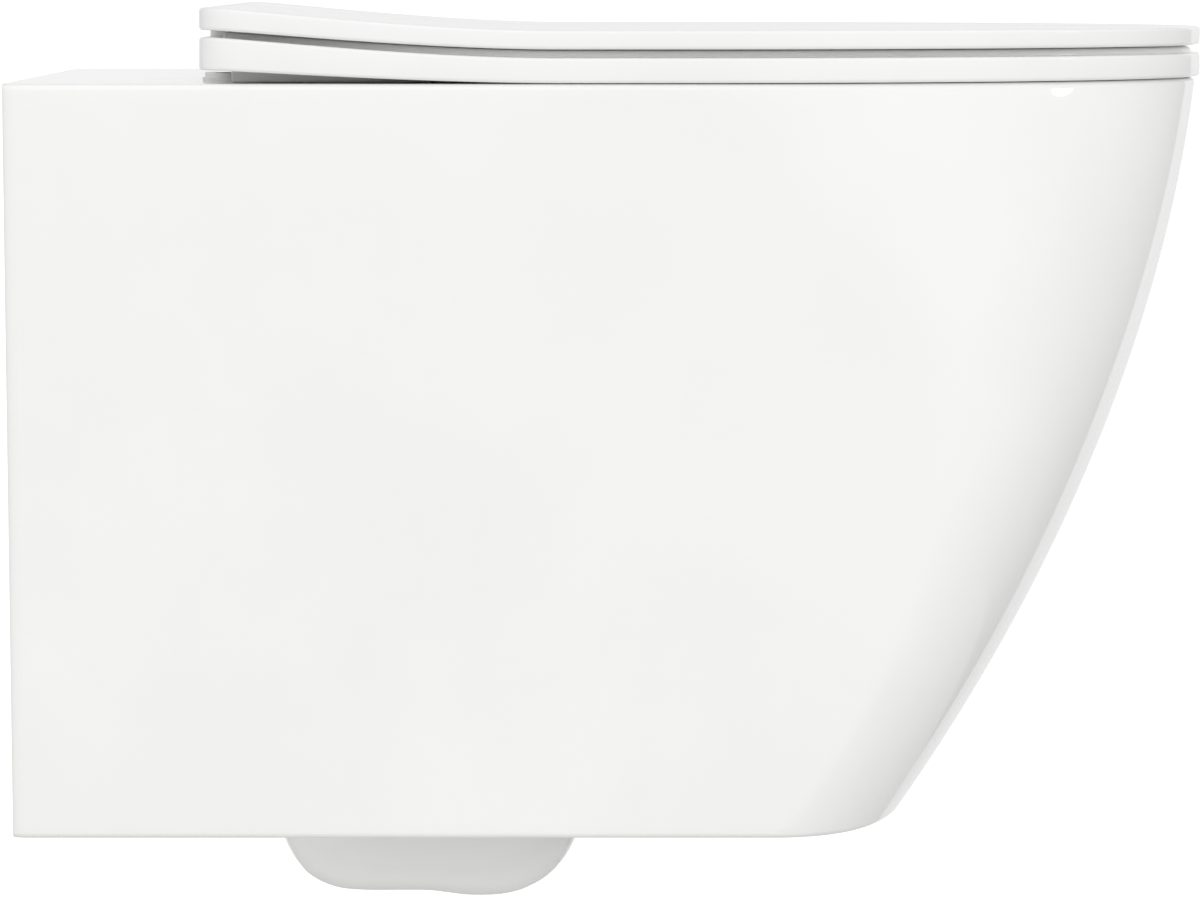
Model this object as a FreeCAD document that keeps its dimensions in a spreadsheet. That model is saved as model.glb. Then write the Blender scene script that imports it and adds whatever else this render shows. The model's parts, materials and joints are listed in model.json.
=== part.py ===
"""Wall hung toilet: ceramic pan, slim seat and lid on soft-close hinges that lift off their posts.

Millimetres. +Z is up and the front faces -Y. The wall is the plane y = 0, and the origin lies on
it, midway between the two fixing holes. Left is -X. Heights that start with "drop" are measured
down from the top of the rim.
"""

import FreeCAD, Part
import math
import os
from FreeCAD import Placement, Rotation, Vector

SIZES = {
    "past": 1,                  # cutting forms run past the faces that they cut by this
    # pan, outside
    "pan_depth": 520,           # wall to the tip of the rim
    "pan_width": 355,
    "rim_rise": 85,             # fixing holes to the top of the rim
    "skirt_drop": 323.5,        # rim to the lower edge of the skirt
    "side_taper": 19.8,         # each side leans in by this at the lower edge
    "front_recede": 132,        # the tip moves back by this down to the lower edge
    "front_lean": 0.29,         # the share of that which is a straight slope
    "nose_top": 235,            # length of the rounded nose at the rim
    "nose_bottom": 62,          # and at the lower edge
    "nose_ease": 2.5,           # how soon the nose shortens
    "side_pull_top": 0.55,      # roundness of the nose beside the flat sides
    "side_pull_bottom": 0.85,
    "tip_pull_top": 0.60,       # roundness of the nose at its tip
    "tip_pull_bottom": 0.42,
    "pan_corner": 6,            # rear upright edges
    "rim_edge": 3,              # rounding of the upper edges
    # pan, inside
    "skirt_wall": 12,
    "deck_wall": 14,
    "rear_wall": 14,
    "rear_wall_low": 32,        # the rear wall ends this far below the fixing holes
    "bowl_half": 137,
    "deck_front": 42,           # tip of the rim to the bowl
    "bowl_rear": 152,
    "bowl_wall": 11,
    "bowl_drop": 290,
    "bowl_flare": 2.2,          # how late the sides of the bowl turn in
    "bowl_slope": 1.8,          # how late its front does
    "sump_half": 44,
    "sump_front": 238,
    "sump_rear": 165,
    "mouth_round": 7,
    "bowl_widest": 0.42,        # where the bowl is widest, as a share of its length
    "bowl_fullness": 0.68,      # of the rear quarters; 0.55 is an ellipse
    # trap
    "trap_front": 240,
    "trap_rear": 112,
    "trap_half": 54,
    "trap_low": 369,            # rim to the underside of the trap
    "trap_rise": 110,
    "trap_round": 33,
    "trap_wall": 13,
    "leg_radius": 37,
    "leg_wall": 12,
    "leg_foot_back": 166,
    "leg_foot_low": 238,
    "crest_back": 92,
    "outlet_low": 100,          # outlet axis below the fixing holes
    "outlet_radius": 51,
    "outlet_bore": 42,
    "outlet_setback": 2,
    "outlet_free": 48,          # length of the spigot before its shoulder
    "outlet_shoulder": 3,
    # flush inlet
    "inlet_rise": 35,
    "inlet_recess": 12,         # wall to the mouth of the inlet
    "recess_radius": 34,
    "inlet_bore": 27.5,
    "inlet_depth": 50,
    "inlet_wall": 14.5,
    "seal_mouth": 22.5,         # grips the flush pipe
    "seal_inside": 24,
    "seal_flange": 10,
    "seal_step": 0.5,           # mouth of the inlet to the lip of the seal
    "seal_length": 33,
    "channel_bore": 20,
    "channel_wall": 11,
    "spreader_radius": 27,
    "spreader_plate": 3,
    "spreader_gap": 8,
    "spreader_tube": 30,
    "spreader_wall": 3.5,
    "spreader_lip": 3,          # the disc is smaller than the plate by this
    "spreader_stay": 2,
    "spreader_inset": 1,        # the plate's seat, cut into the bowl
    "plug_gap": 0.1,
    # wall fixings
    "fixing_spacing": 180,
    "stud_bore": 6.5,
    "anchor_radius": 16,
    "anchor_length": 60,
    "anchor_gap": 0.2,
    "anchor_hole_end": 2,
    "boss_wall": 10,
    "clamp_back": 35,
    "clamp_radius": 4,
    "clamp_head": 6.5,
    "clamp_head_depth": 5,
    "clamp_reach": 8,           # fixing axis to the tip of the clamp screw
    "clamp_gap": 0.5,
    # seat and lid
    "seat_overhang": 2,         # past the tip of the pan
    "seat_back": 82,            # wall to the rear end of seat and lid
    "seat_corner": 18,
    "seat_lift": 0.3,           # gap over the rim, held by pads
    "seat_thick": 10.6,         # at the outer edge
    "lid_gap": 3.5,
    "lid_thick": 8.1,
    "seat_edge": 1.5,           # rounding of the seat's outer edges
    "lid_edge": 1.5,
    "bend_start": 235,
    "bend_end": 88,
    "bend_pull_front": 60,
    "bend_pull_rear": 11,
    "lid_bend_rise": 8,
    "lid_top_rise": 9.5,
    "seat_top_rise": 8.6,
    "seat_low_rise": 5.3,
    "crown_rise": 3.1,          # the ring is higher than its edge by this
    "crown_inset": 4,
    "crown_back": 92,
    "crown_corner": 8,
    "crown_round": 2.7,
    "hole_half": 114,
    "ring_front": 62,           # tip of the seat to its opening
    "hole_rear": 165,
    "pad_radius": 7,
    "pad_pocket": 2.7,          # how deep a pad sits in the ring
    "pad_side": 20,             # pad centre to the outer edge of the seat
    "pad_back": 240,
    "pad_tip": 54,              # pad centre to the tip of the seat
    "pad_front_half": 85,
    "lid_pad_radius": 5,
    "lid_pad_pocket": 1.1,
    "lid_pad_side": 30,
    "lid_pad_tip": 34,
    "lid_pad_front_half": 60,
    # hinges
    "post_spacing": 155,
    "post_back": 100,
    "axis_back": 86,
    "axis_rise": 12.5,          # above the deck
    "deck_hole": 8,
    "gasket_radius": 22,
    "gasket_thick": 0.8,
    "base_radius": 21,
    "base_thick": 2.2,
    "shank_radius": 3,
    "shank_drop": 37,
    "post_radius": 6,
    "post_height": 9.6,
    "groove_radius": 3.5,
    "groove_low": 3,            # base plate to the groove
    "groove_wide": 2.6,
    "plug_drop": 25,
    "nut_radius": 7.5,
    "nut_thick": 10,
    "housing_half": 12.5,
    "housing_front": 114,
    "housing_height": 14,
    "barrel_radius": 7,
    "seat_gap": 0.3,            # between pieces that rest loosely on each other
    "damper_radius": 5.25,
    "damper_length": 16,
    "cap_thick": 2,
    "pin_radius": 3,
    "tip_radius": 2,
    "tip_length": 9,
    "running_fit": 0.05,
    "lug_wide": 8,
    "lug_radius": 6.5,
    "side_gap": 1,
    "notch_gap": 2,
    "notch_inner": 4,
    "notch_front": 121,
    "pin_grip": 12,
    "bush_wall": 1.5,
    # quick release
    "button_half": 8,
    "button_travel": 2.2,
    "button_thick": 3.2,
    "button_proud": 2.5,
    "button_low": 1.6,
    "button_high": 7,
    "prong_half": 3.3,
    "prong_thick": 2,
    "prong_reach": 4.4,
    "wire_radius": 0.8,
    "wire_gap": 0.1,
    "clip_leg": 11,
    "clip_behind": 2,           # the clip's half turn is centred this far behind the post
    "slot_half": 6.2,
    "slot_back": 92,
}

DOC = FreeCAD.newDocument("wall_hung_toilet")
NODES = {}


def fill_sheet(sheet, sizes):
    """One row for each driving dimension: its name, its value and the name as alias."""
    for row, (name, value) in enumerate(sizes.items(), 1):
        sheet.set(f"A{row}", name)
        sheet.set(f"B{row}", str(value))
        sheet.setAlias(f"B{row}", name)


SHEET = DOC.addObject("Spreadsheet::Sheet", "size")
fill_sheet(SHEET, SIZES)
DOC.recompute()


class SheetValues:
    """The cells of the sheet as numbers, for the free-form outlines."""

    def __getattr__(self, name):
        return float(SHEET.get(name))


size = SheetValues()

# Levels and places that many pieces share, as formulas over the sheet.
HALF = "size.pan_width / 2"
DECK = "size.rim_rise"
BASE_TOP = "(size.rim_rise + size.gasket_thick + size.base_thick)"
AXIS_Y = "-size.axis_back"
AXIS_Z = "(size.rim_rise + size.axis_rise)"
POST_X = "(size.post_spacing / 2)"
HOUSING_OUT = f"({POST_X} + size.housing_half)"
LUG_IN = f"({HOUSING_OUT} + size.side_gap)"
LUG_OUT = f"({LUG_IN} + size.lug_wide)"
NOTCH_OUT = f"({LUG_OUT} + size.notch_gap)"
NOTCH_IN = f"({POST_X} - size.housing_half - size.notch_inner)"
HOUSING_IN = f"({POST_X} - size.housing_half)"
DAMPER_END = f"({HOUSING_IN} + size.cap_thick + size.damper_length)"
HOUSING_LOW = f"({BASE_TOP} + size.seat_gap)"
GROOVE_LOW = f"({BASE_TOP} + size.groove_low)"
FIXING_X = "(size.fixing_spacing / 2)"
BUSH_RADIUS = "size.pin_radius + size.running_fit + size.bush_wall"
SEAT_TOP = f"({DECK} + size.seat_lift + size.seat_thick)"
TIP = "size.pan_depth + size.seat_overhang"
ABOVE = ("(size.seat_lift + size.seat_thick + size.lid_gap + size.lid_thick"
         " + size.lid_top_rise + size.past)")
BOSS_RADIUS = "(size.anchor_radius + size.anchor_gap + size.boss_wall)"

QUARTER = 0.5523  # handle of a Bezier quarter that follows an ellipse

UP = Rotation()
OUT = Rotation(Vector(0, 1, 0), 90)
FRONT = Rotation(Vector(1, 0, 0), 90)


def bind(piece, at, turn=UP, **formulas):
    """Ties the piece's sizes and its place to the sheet."""
    piece.Placement = Placement(Vector(), turn)
    for name, formula in formulas.items():
        piece.setExpression(name, formula)
    for letter, formula in zip("xyz", at):
        piece.setExpression(f"Placement.Base.{letter}", formula)
    return piece


def rod(name, radius, length, at, turn):
    """A cylinder from the point `at`, running up, out (+X) or to the front (-Y)."""
    piece = DOC.addObject("Part::Cylinder", name)
    return bind(piece, at, turn, Radius=radius, Height=length)


def block(name, low, high):
    """A box between two corners."""
    spans = [f"({b}) - ({a})" for a, b in zip(low, high)]
    piece = DOC.addObject("Part::Box", name)
    return bind(piece, low, Length=spans[0], Width=spans[1], Height=spans[2])


def joined(name, pieces):
    whole = DOC.addObject("Part::MultiFuse", name)
    whole.Shapes = pieces
    return whole


def cut(name, base, tools):
    rest = DOC.addObject("Part::Cut", name)
    rest.Base = base
    rest.Tool = tools[0] if len(tools) == 1 else joined(f"{name}_tools", tools)
    return rest


def overlap(name, pieces):
    shared = DOC.addObject("Part::MultiCommon", name)
    shared.Shapes = pieces
    return shared


def mirrored(name, piece):
    """The same piece on the left side."""
    twin = DOC.addObject("Part::Mirroring", name)
    twin.Source = piece
    twin.Normal = Vector(1, 0, 0)
    return twin


def shaped(name, shape):
    """A free form that no primitive or sketch fits."""
    piece = DOC.addObject("Part::Feature", name)
    piece.Shape = shape
    piece.Placement = Placement()
    return piece


def raised(name, face, height):
    """The outline's prism, standing on it."""
    prism = DOC.addObject("Part::Extrusion", name)
    prism.Base = face
    prism.DirMode = "Custom"
    prism.Dir = Vector(0, 0, 1)
    prism.setExpression("LengthFwd", height)
    prism.Solid = True
    return prism


def node(name, piece):
    piece.Label = name
    NODES[name] = piece
    return piece


def pair(name, piece):
    """The right piece and its mirror image, as two nodes."""
    node(f"{name}_right", piece)
    node(f"{name}_left", mirrored(f"{name}_mirrored", piece))


# ---------------------------------------------------------------- outlines


def bezier(*poles):
    curve = Part.BezierCurve()
    curve.setPoles([Vector(*pole) for pole in poles])
    return curve.toShape()


def line(a, b):
    return Part.LineSegment(Vector(*a), Vector(*b)).toShape()


def corner(start, centre, radius, end):
    """A quarter circle about `centre`, bulging away from the middle of the outline."""
    middle = (Vector(*start) + Vector(*end)) / 2 - Vector(*centre)
    middle = Vector(*centre) + middle.normalize() * radius
    return Part.Arc(Vector(*start), middle, Vector(*end)).toShape()


def plan_wire(half, rear, radius, nose, tip, side_pull, tip_pull, z):
    """A D: straight rear and sides, rounded rear corners and a nose of two Bezier curves."""
    x, y, shoulder, point = half - radius, rear - radius, -(tip - nose), -tip
    side_end = shoulder - side_pull * nose
    return Part.Wire([
        line((-x, rear, z), (x, rear, z)),
        corner((x, rear, z), (x, y, z), radius, (half, y, z)),
        line((half, y, z), (half, shoulder, z)),
        bezier((half, shoulder, z), (half, side_end, z), (tip_pull * half, point, z), (0, point, z)),
        bezier((0, point, z), (-tip_pull * half, point, z), (-half, side_end, z), (-half, shoulder, z)),
        line((-half, shoulder, z), (-half, y, z)),
        corner((-half, y, z), (-x, y, z), radius, (-x, rear, z)),
    ])


def skirt_wire(drop, inset, rear, radius):
    """The pan's outline at a drop below the rim, moved in by the inset."""
    share = drop / size.skirt_drop
    ease = max(0.0, 1 - share) ** size.nose_ease
    half = size.pan_width / 2 - size.side_taper * share
    bow = size.front_lean * share + (1 - size.front_lean) * share ** 2
    tip = size.pan_depth - size.front_recede * bow
    nose = size.nose_bottom + (size.nose_top - size.nose_bottom) * ease
    side_pull = size.side_pull_top + (size.side_pull_bottom - size.side_pull_top) * share
    tip_pull = size.tip_pull_top + (size.tip_pull_bottom - size.tip_pull_top) * share
    z = size.rim_rise - drop
    return plan_wire(half - inset, rear, radius, nose, tip - inset, side_pull, tip_pull, z)


def egg_wire(half, front, rear, z):
    """A closed outline of four Bezier quarters, fuller at the rear than an ellipse."""
    widest = rear + (front - rear) * size.bowl_widest
    full = size.bowl_fullness
    front_y, rear_y, wide_y = -front, -rear, -widest
    toward_front = wide_y + (front_y - wide_y) * QUARTER
    toward_rear = wide_y + (rear_y - wide_y) * full
    quarters = []
    for side in (1, -1):
        x = side * half
        a = ((0, rear_y, z), (x * full, rear_y, z), (x, toward_rear, z), (x, wide_y, z))
        b = ((x, wide_y, z), (x, toward_front, z), (x * QUARTER, front_y, z), (0, front_y, z))
        quarters += [a, b] if side == 1 else [b[::-1], a[::-1]]
    return Part.Wire([bezier(*poles) for poles in quarters])


def bowl_wire(drop, grow):
    """The bowl's outline at a drop below the rim, grown by a wall."""
    share = drop / size.bowl_drop
    half = size.sump_half + (size.bowl_half - size.sump_half) * (1 - share ** size.bowl_flare)
    mouth_front = size.pan_depth - size.deck_front
    front = size.sump_front + (mouth_front - size.sump_front) * (1 - share ** size.bowl_slope)
    rear = size.bowl_rear + (size.sump_rear - size.bowl_rear) * share
    return egg_wire(half + grow, front + grow, rear - grow, size.rim_rise - drop)


def spread(start, end, count):
    return [start + (end - start) * i / (count - 1) for i in range(count)]


def edges_at(shape, z):
    """The edges that lie wholly in the level z."""
    return [edge for edge in shape.Edges if all(abs(v.Z - z) < 0.001 for v in edge.Vertexes)]


def outer_edges(shape, way):
    """The border of the faces that look up (way 1) or down (way -1)."""
    border = {}
    steep = math.cos(math.radians(60))
    for face in shape.Faces:
        u0, u1, v0, v1 = face.ParameterRange
        if face.normalAt((u0 + u1) / 2, (v0 + v1) / 2).z * way > steep:
            for edge in face.Edges:
                border.setdefault(edge.hashCode(), []).append(edge)
    return [edges[0] for edges in border.values() if len(edges) == 1]


def eased(name, blank, radius, ways=(1, -1)):
    """The blank with its upper border rounded, and its lower one too unless `ways` leaves it out."""
    DOC.recompute()
    shape = blank.Shape.Solids[0]
    return shaped(name, shape.makeFillet(radius, sum((outer_edges(shape, way) for way in ways), [])))


# ---------------------------------------------------------------- ceramic pan


def skirt():
    """The outside of the pan, ground flat at the wall, and the room inside it."""
    levels = spread(0, size.skirt_drop, 7)
    radius = size.pan_corner + size.past
    outer = Part.makeLoft([skirt_wire(d, 0, size.past, radius) for d in levels], True, False)
    outer = outer.makeFillet(size.rim_edge, edges_at(outer, size.rim_rise))
    behind = block("behind_the_wall", (f"-{HALF} - size.past", "0", "-size.skirt_drop"),
                   (f"{HALF} + size.past", "2 * size.past", f"{DECK} + size.past"))
    hollow_levels = spread(size.deck_wall, size.skirt_drop + size.past, 7)
    hollow = Part.makeLoft(
        [skirt_wire(d, size.skirt_wall, 2 * size.past, size.past) for d in hollow_levels], True, True)
    return cut("skirt_ground", shaped("skirt_outside", outer), [behind]), shaped("skirt_hollow", hollow)


def bowl():
    """The bowl's cavity, and the same form grown by its wall. The mouth's edge is eased."""
    levels = spread(0, size.bowl_drop, 5)
    round_levels = [bowl_wire(size.mouth_round, 0), egg_mouth()]
    cavity = Part.makeLoft([bowl_wire(d, 0) for d in levels], True, False)
    ease = Part.makeLoft(round_levels, True, True)
    wall_levels = spread(size.deck_wall / 2, size.bowl_drop, 7)
    wall = Part.makeLoft([bowl_wire(d, size.bowl_wall) for d in wall_levels], True, True)
    return shaped("bowl_cavity", cavity), shaped("mouth_ease", ease), shaped("bowl_wall_form", wall)


def egg_mouth():
    """The bowl's mouth on the deck, as wide as its eased edge makes it."""
    grow = size.mouth_round
    front = size.pan_depth - size.deck_front + grow
    return egg_wire(size.bowl_half + grow, front, size.bowl_rear - grow, size.rim_rise)


def rounded_block(name, inset):
    """The trap's lower bend, as a block with all edges rounded."""
    low = f"size.rim_rise - size.trap_low + {inset}"
    body = block(
        name,
        (f"-size.trap_half + {inset}", f"-size.trap_front + {inset}", low),
        (f"size.trap_half - {inset}", f"-size.trap_rear - {inset}",
         f"size.rim_rise - size.trap_low + size.trap_rise - {inset}"))
    DOC.recompute()
    soft = DOC.addObject("Part::Fillet", f"{name}_rounded")
    soft.Base = body
    radius = size.trap_round - (size.trap_wall if inset != "0" else 0)
    soft.Edges = [(i, radius, radius) for i in range(1, len(body.Shape.Edges) + 1)]
    return soft


def trap(name, leg_radius, inset, outlet_radius, outlet_end):
    """The trap's lower bend, its rising leg, the crest and the level run to the wall."""
    foot = Vector(0, -size.leg_foot_back, -size.leg_foot_low)
    rise = Vector(0, -size.crest_back, -size.outlet_low) - foot
    leg = bind(DOC.addObject("Part::Cylinder", f"{name}_leg"),
               ("0", "-size.leg_foot_back", "-size.leg_foot_low"), Rotation(Vector(0, 0, 1), rise),
               Radius=leg_radius)
    leg.Height = rise.Length
    crest = bind(DOC.addObject("Part::Sphere", f"{name}_crest"),
                 ("0", "-size.crest_back", "-size.outlet_low"), Rotation(Vector(0, 0, 1), rise),
                 Radius=leg_radius)
    run = rod(f"{name}_outlet", outlet_radius, f"size.crest_back - ({outlet_end})",
              ("0", f"-({outlet_end})", "-size.outlet_low"), FRONT)
    return [rounded_block(f"{name}_bend", inset), leg, crest, run]


def ceramic_pan():
    """One fired piece: skirt, deck, bowl, trap, rear wall, bosses, inlet and outlet."""
    outside, hollow = skirt()
    cavity, ease, wall = bowl()
    shell = cut("skirt_shell", outside, [hollow])
    rear_wall = overlap("rear_wall_web", [
        outside,
        block("rear_wall_block",
              (f"-{HALF}", "-size.rear_wall", "-size.rear_wall_low"),
              (HALF, "0", f"{DECK} - size.deck_wall / 2")),
    ])
    boss = rod("fixing_boss", BOSS_RADIUS, "size.anchor_length + size.boss_wall",
               (FIXING_X, "0", "0"), FRONT)
    inlet_horn = rod("inlet_horn", "size.inlet_bore + size.inlet_wall",
                     "size.inlet_recess + size.inlet_depth + size.boss_wall",
                     ("0", "0", "size.inlet_rise"), FRONT)
    shoulder = rod("outlet_shoulder", "size.outlet_radius + size.outlet_shoulder",
                   "size.crest_back - size.outlet_setback - size.outlet_free",
                   ("0", "-size.outlet_setback - size.outlet_free", "-size.outlet_low"), FRONT)
    channel = rod("channel_tube", "size.channel_bore + size.channel_wall",
                  "size.bowl_rear - size.spreader_inset", ("0", "0", "size.inlet_rise"), FRONT)
    *bend, run = trap("trap_outside", "size.leg_radius + size.leg_wall", "0",
                      "size.outlet_radius", "size.outlet_setback")
    spigot = joined("outlet_spigot", [run, shoulder])
    solid = joined("pan_solid", [
        shell, rear_wall, wall, boss, mirrored("fixing_boss_left", boss), inlet_horn, channel,
        *bend, spigot,
    ])
    return node("ceramic_pan", cut("pan_fired", solid, [cavity, ease, *pan_holes()]))


def pan_holes():
    """Everything that is hollow in the pan besides the bowl itself."""
    anchor_hole = rod("anchor_hole", "size.anchor_radius + size.anchor_gap",
                      "size.anchor_length + size.anchor_hole_end + size.past",
                      (FIXING_X, "size.past", "0"), FRONT)
    clamp_hole = rod("clamp_hole", "size.clamp_radius + size.clamp_gap",
                     f"{BOSS_RADIUS} + size.past",
                     (FIXING_X, "-size.clamp_back", f"-{BOSS_RADIUS} - size.past"), UP)
    deck_hole = rod("deck_hole", "size.deck_hole", "size.deck_wall + 2 * size.past",
                    (POST_X, "-size.post_back", f"{DECK} - size.deck_wall - size.past"), UP)
    inlet_at = ("0", "size.past", "size.inlet_rise")
    return [
        *trap("trap_inside", "size.leg_radius", "size.trap_wall", "size.outlet_bore", "-1"),
        anchor_hole, mirrored("anchor_hole_left", anchor_hole),
        clamp_hole, mirrored("clamp_hole_left", clamp_hole),
        deck_hole, mirrored("deck_hole_left", deck_hole),
        rod("inlet_mouth", "size.recess_radius", "size.inlet_recess + size.past", inlet_at, FRONT),
        rod("inlet_socket", "size.inlet_bore", "size.inlet_recess + size.inlet_depth + size.past",
            inlet_at, FRONT),
        rod("flush_channel", "size.channel_bore", "size.bowl_rear + 2 * size.past", inlet_at, FRONT),
        rod("spreader_seat", "size.spreader_radius + size.seat_gap", "size.spreader_radius / 2",
            ("0", "-size.bowl_rear + size.spreader_inset", "size.inlet_rise"), FRONT),
    ]


def flush_seal():
    """A rubber cuff in the inlet. Its flange lies in the recess and its lip grips the pipe."""
    flange = rod("seal_flange_disc", "size.recess_radius - size.plug_gap", "size.seal_flange",
                 ("0", "-size.inlet_recess + size.seal_flange", "size.inlet_rise"), FRONT)
    sleeve = rod("seal_sleeve", "size.inlet_bore - size.plug_gap", "size.seal_length",
                 ("0", "-size.inlet_recess", "size.inlet_rise"), FRONT)
    mouth = rod("seal_mouth_bore", "size.seal_mouth", "size.seal_flange + 2 * size.past",
                ("0", "-size.inlet_recess + size.seal_flange + size.past", "size.inlet_rise"), FRONT)
    inside = rod("seal_inside_bore", "size.seal_inside", "size.seal_length + size.seal_step + size.past",
                 ("0", "-size.inlet_recess + size.seal_step", "size.inlet_rise"), FRONT)
    node("flush_seal", cut("seal", joined("seal_solid", [flange, sleeve]), [mouth, inside]))


def flush_distributor():
    """A spout in the flush channel, a plate on the bowl and a disc that spreads the water."""
    start = "size.bowl_rear - size.spreader_inset"
    tube_start = f"{start} - size.spreader_tube"
    tube = rod("spreader_spout", "size.channel_bore - size.plug_gap", "size.spreader_tube",
               ("0", f"-({tube_start})", "size.inlet_rise"), FRONT)
    plate = rod("spreader_plate_form", "size.spreader_radius", "size.spreader_plate",
                ("0", f"-({start})", "size.inlet_rise"), FRONT)
    disc_at = f"{start} + size.spreader_plate + size.spreader_gap"
    disc = rod("spreader_disc", "size.spreader_radius - size.spreader_lip", "size.spreader_plate",
               ("0", f"-({disc_at})", "size.inlet_rise"), FRONT)
    stays = []
    for side in (-1, 1):
        x = f"{side} * (size.spreader_radius - size.spreader_lip - 2 * size.spreader_stay)"
        stays.append(rod(f"spreader_stay_{len(stays)}", "size.spreader_stay",
                         "size.spreader_gap + 2 * size.past",
                         (x, f"-({start} + size.spreader_plate - size.past)", "size.inlet_rise"),
                         FRONT))
    bore = rod("spreader_bore", "size.channel_bore - size.spreader_wall",
               "size.spreader_tube + size.spreader_plate + 2 * size.past",
               ("0", f"-({tube_start} - size.past)", "size.inlet_rise"), FRONT)
    collar = cut("spreader_collar", joined("spreader_spout_plate", [tube, plate]), [bore])
    node("flush_distributor", joined("spreader", [collar, disc, *stays]))


# ---------------------------------------------------------------- wall fixings


def wall_fixings():
    """Sleeves for the wall studs, each locked by a screw from below."""
    sleeve = rod("anchor_sleeve", "size.anchor_radius", "size.anchor_length",
                 (FIXING_X, "0", "0"), FRONT)
    stud_bore = rod("anchor_stud_bore", "size.stud_bore", "size.anchor_length + 2 * size.past",
                    (FIXING_X, "size.past", "0"), FRONT)
    tip_hole = rod("anchor_tip_hole", "size.clamp_radius", "size.anchor_radius",
                   (FIXING_X, "-size.clamp_back", "-size.anchor_radius - size.clamp_reach"), UP)
    pair("wall_anchor", cut("anchor", sleeve, [stud_bore, tip_hole]))
    shank = rod("clamp_shank", "size.clamp_radius", f"{BOSS_RADIUS} - size.clamp_reach",
                (FIXING_X, "-size.clamp_back", f"-{BOSS_RADIUS}"), UP)
    head = rod("clamp_head_form", "size.clamp_head", "size.clamp_head_depth",
               (FIXING_X, "-size.clamp_back", f"-{BOSS_RADIUS} - size.clamp_head_depth"), UP)
    pair("clamp_screw", joined("clamp_screw_form", [shank, head]))


# ---------------------------------------------------------------- hinge posts


def ring(name, outer, inner, low, thick):
    """A washer on the hinge post's axis."""
    at = (POST_X, "-size.post_back", low)
    disc = rod(f"{name}_disc", outer, thick, at, UP)
    hole = rod(f"{name}_hole", inner, f"{thick} + 2 * size.past",
               (POST_X, "-size.post_back", f"{low} - size.past"), UP)
    return cut(f"{name}_ring", disc, [hole])


def hinge_posts():
    """Gasket, base plate, grooved post, rubber plug in the deck and the nut that spreads it."""
    at = (POST_X, "-size.post_back")
    pair("hinge_gasket", ring("gasket", "size.gasket_radius", "size.shank_radius", DECK,
                              "size.gasket_thick"))
    pair("hinge_base", ring("base", "size.base_radius", "size.shank_radius",
                            f"{DECK} + size.gasket_thick", "size.base_thick"))
    shank = rod("post_shank", "size.shank_radius", "size.shank_drop",
                (*at, f"{BASE_TOP} - size.shank_drop"), UP)
    pillar = rod("post_pillar", "size.post_radius", "size.post_height", (*at, BASE_TOP), UP)
    outer = rod("groove_outer", "size.post_radius + size.past", "size.groove_wide",
                (*at, GROOVE_LOW), UP)
    core = rod("groove_core", "size.groove_radius", "size.groove_wide", (*at, GROOVE_LOW), UP)
    groove = cut("post_groove", outer, [core])
    pair("hinge_post", cut("post", joined("post_solid", [shank, pillar]), [groove]))
    plug_low = f"({DECK} - size.plug_drop)"
    pair("deck_plug", ring("plug", "size.deck_hole - size.plug_gap", "size.shank_radius", plug_low,
                           "size.plug_drop"))
    pair("plug_nut", ring("nut", "size.nut_radius", "size.shank_radius",
                          f"{plug_low} - size.nut_thick", "size.nut_thick"))


# ---------------------------------------------------------------- hinge blocks


def hinge_blocks():
    """Each block stands on a post, holds a damper and a clip, and carries one hinge pin's end."""
    body = block("housing_block",
                 (HOUSING_IN, "-size.housing_front", HOUSING_LOW),
                 (HOUSING_OUT, AXIS_Y, f"{HOUSING_LOW} + size.housing_height"))
    barrel = rod("housing_barrel", "size.barrel_radius", "2 * size.housing_half",
                 (HOUSING_IN, AXIS_Y, AXIS_Z), OUT)
    socket = rod("post_socket", "size.post_radius + size.seat_gap",
                 "size.post_height + size.seat_gap",
                 (POST_X, "-size.post_back", f"{HOUSING_LOW} - size.seat_gap"), UP)
    slot = block("clip_slot",
                 (f"{POST_X} - size.slot_half", "-size.housing_front - size.past", GROOVE_LOW),
                 (f"{POST_X} + size.slot_half", "-size.slot_back",
                  f"{GROOVE_LOW} + size.groove_wide"))
    pocket = block("button_pocket",
                   (f"{POST_X} - size.button_half - size.seat_gap", "-size.housing_front - size.past",
                    f"{BASE_TOP} + size.button_low - size.seat_gap"),
                   (f"{POST_X} + size.button_half + size.seat_gap",
                    "-size.housing_front - size.button_proud + size.button_thick"
                    " + size.button_travel + size.seat_gap",
                    f"{BASE_TOP} + size.button_high + size.seat_gap"))
    damper_bore = rod("damper_bore", "size.damper_radius + size.running_fit",
                      "size.cap_thick + size.damper_length + size.past",
                      (f"{HOUSING_IN} - size.past", AXIS_Y, AXIS_Z), OUT)
    bearing = rod("pin_bearing", "size.pin_radius + size.running_fit", "2 * size.housing_half",
                  (f"{HOUSING_IN} + size.past", AXIS_Y, AXIS_Z), OUT)
    pair("hinge_housing", cut("housing", joined("housing_solid", [body, barrel]),
                              [socket, slot, pocket, damper_bore, bearing]))
    pair("hinge_cap", rod("cap", "size.damper_radius + size.running_fit", "size.cap_thick",
                          (HOUSING_IN, AXIS_Y, AXIS_Z), OUT))


def dampers():
    """The right damper slows the seat, the left one the lid."""
    case = rod("damper_case", "size.damper_radius", "size.damper_length",
               (f"{HOUSING_IN} + size.cap_thick", AXIS_Y, AXIS_Z), OUT)
    drive = rod("damper_drive", "size.tip_radius + size.running_fit", "size.tip_length + size.past",
                (f"{DAMPER_END} - size.tip_length - size.seat_gap", AXIS_Y, AXIS_Z), OUT)
    damper = cut("damper", case, [drive])
    node("seat_damper", damper)
    node("lid_damper", mirrored("damper_mirrored", damper))


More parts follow.
